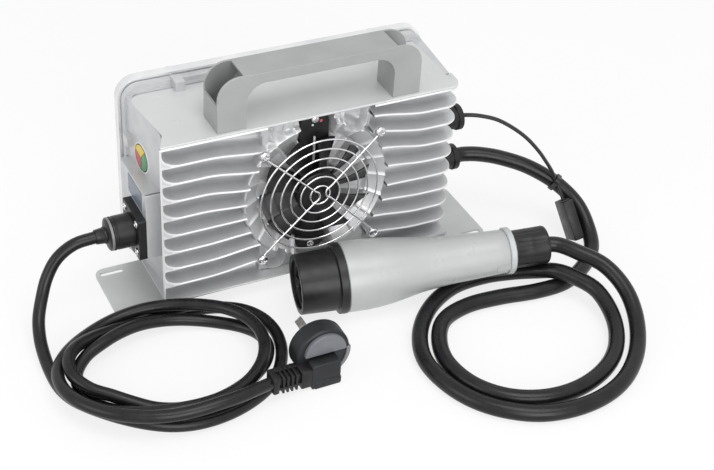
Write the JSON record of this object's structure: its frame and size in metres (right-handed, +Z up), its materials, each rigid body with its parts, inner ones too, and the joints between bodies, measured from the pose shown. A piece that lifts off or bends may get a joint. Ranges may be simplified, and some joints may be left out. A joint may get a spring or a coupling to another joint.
{
  "type": "battery charger",
  "caption": "Fan-cooled battery charger: finned cast case with a carry handle and slotted base ears, a coiled mains lead with plug and a looped DC lead with a large round plug.",
  "frame": {"origin": "on the ground plane under the middle of the charger's bounding box, leads left out", "axes": "+X from the mains inlet to the output glands, +Y from the fan side to the rear shell, +Z up"},
  "size_m": [0.5211, 0.3559, 0.22],
  "materials": {
    "cast": "satin die-cast aluminium with bright fin edges",
    "rear": "bright satin aluminium",
    "sheet": "light matte aluminium sheet",
    "grip": "grey satin paint",
    "screw": "bright zinc-plated steel",
    "wire": "chromed steel wire",
    "black": "black moulded plastic, satin",
    "cord": "black rubber sheath, satin",
    "seal": "black rubber seal",
    "grey": "light grey moulded plastic, satin",
    "plate": "blue-grey plain plastic",
    "facet": "dark grey plastic",
    "white": "white gloss plastic",
    "yellow": "yellow lens",
    "red": "red lens",
    "green": "green lens",
    "brass": "brass contacts",
    "pins": "nickel-plated flat pins",
    "board": "green circuit board laminate",
    "core": "dark ferrite core",
    "copper": "enamelled winding"
  },
  "bodies": {
    "case": {"front_shell": "cast", "rear_shell": "rear", "shell_gasket": "seal", "shell_screws": "screw", "top_sheet": "sheet", "sheet_screws": "screw", "handle": "grip", "handle_screws": "screw", "base_plate": "sheet", "base_screws": "screw", "fan_bracket": "black", "bracket_screws": "screw", "fan_motor": "black", "fan_guard": "wire", "guard_screws": "screw", "inlet_flange": "black", "inlet_screws": "screw", "inlet_coupling": "black", "coupling_cap": "black", "inlet_panel": "plate", "lens_ring": "white", "lens_yellow": "yellow", "lens_red": "red", "lens_green": "green", "signal_gland": "black", "dc_gland": "black", "signal_lead": "cord", "inline_box": "black", "cable_ties": "black", "dc_cable": "cord", "plug_collar": "black", "plug_insert": "black", "plug_contacts": "brass", "plug_handle": "grey", "plug_ring": "grey", "plug_nut": "black", "ac_lead": "cord", "ac_coil": "cord", "mains_relief": "black", "mains_plug": "black", "mains_cap": "facet", "mains_pins": "pins", "circuit_board": "board", "board_posts": "screw", "board_screws": "screw", "transformer_core": "core", "transformer_coil": "copper", "choke_ring": "copper", "capacitors": "black", "heat_bar": "cast", "power_devices": "black", "terminal_block": "board", "fan_wire": "cord"},
    "fan": {"fan_rotor": "black"}
  },
  "joints": [
    {"name": "fan_spin", "type": "hinge", "parent": "case", "child": "fan", "pos_m": [0, -0.0453, 0.0935], "axis": [0, 1, 0], "continuous": true}
  ]
}
